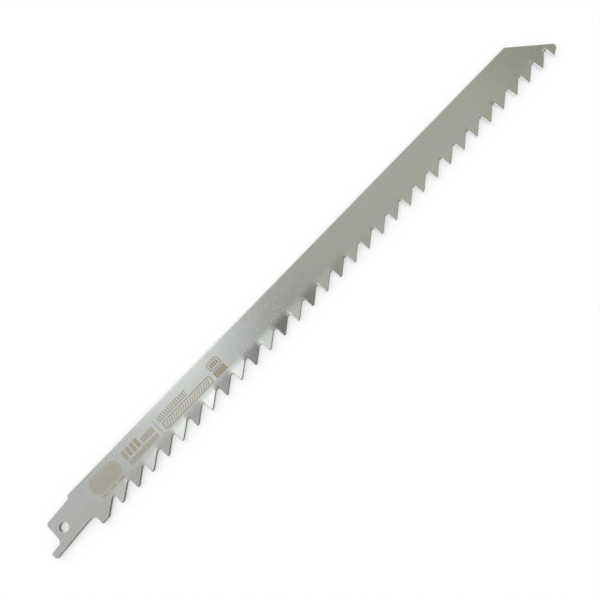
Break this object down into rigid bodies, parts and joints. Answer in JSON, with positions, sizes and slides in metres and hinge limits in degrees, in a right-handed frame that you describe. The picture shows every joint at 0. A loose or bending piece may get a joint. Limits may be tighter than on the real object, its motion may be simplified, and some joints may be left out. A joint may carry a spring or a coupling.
{
  "type": "reciprocating saw blade",
  "caption": "Long flat steel saw blade for a reciprocating saw, with coarse set teeth for green wood, a sloped nose and a notched tang with a hole.",
  "frame": {"origin": "on the axis of the tang hole, halfway through the thickness of the strip", "axes": "+X along the blade from the tang to the nose, +Y from the teeth to the back edge, +Z out of one face"},
  "size_m": [0.3, 0.019, 0.0022],
  "materials": {
    "blade_steel": "satin ground steel, bare, with a bright rounded back edge"
  },
  "bodies": {
    "root": {"blade": "blade_steel"}
  },
  "joints": []
}
